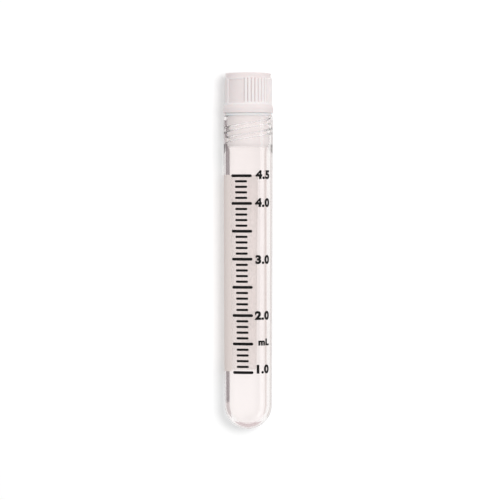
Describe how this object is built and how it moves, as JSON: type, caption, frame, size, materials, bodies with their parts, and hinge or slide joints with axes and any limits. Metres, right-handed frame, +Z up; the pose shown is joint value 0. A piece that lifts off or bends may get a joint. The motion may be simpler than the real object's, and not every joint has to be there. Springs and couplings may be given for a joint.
{
  "type": "cryovial",
  "caption": "Long clear round-bottomed sample vial with a white ribbed screw cap whose hollow threaded plug closes inside the neck on a sealing washer.",
  "frame": {"origin": "on the surface that the vial lies on, under the middle of its bounding box", "axes": "+Z up from the surface, +Y along the lying vial from the round bottom to the cap, rising 0.31 degrees because the cap's collar is wider than the tube's bottom, +X across it"},
  "size_m": [0.0126, 0.089, 0.0126],
  "materials": {
    "clear_polypropylene": "glossy, translucent",
    "silicone": "satin, translucent white",
    "white_polypropylene": "satin",
    "black_ink": "printed scale, in the visual model only",
    "white_ink": "printed writing patch, in the visual model only"
  },
  "bodies": {
    "tube": {"vial_tube": "clear_polypropylene"},
    "washer": {"seal_washer": "silicone"},
    "cap": {"screw_cap": "white_polypropylene"}
  },
  "joints": [
    {"name": "cap_rise", "type": "slide", "parent": "tube", "child": "washer", "axis": [0, 1, 0.0053], "range_m": [0, 0.0078]},
    {"name": "cap_turn", "type": "hinge", "parent": "washer", "child": "cap", "pos_m": [0, 0.03449, 0.00628], "axis": [0, 1, 0.0053], "range_deg": [0, 540.5]}
  ],
  "couplings": [
    {"joint": "cap_turn", "follows": "cap_rise", "rad_per_m": 1208.3}
  ]
}
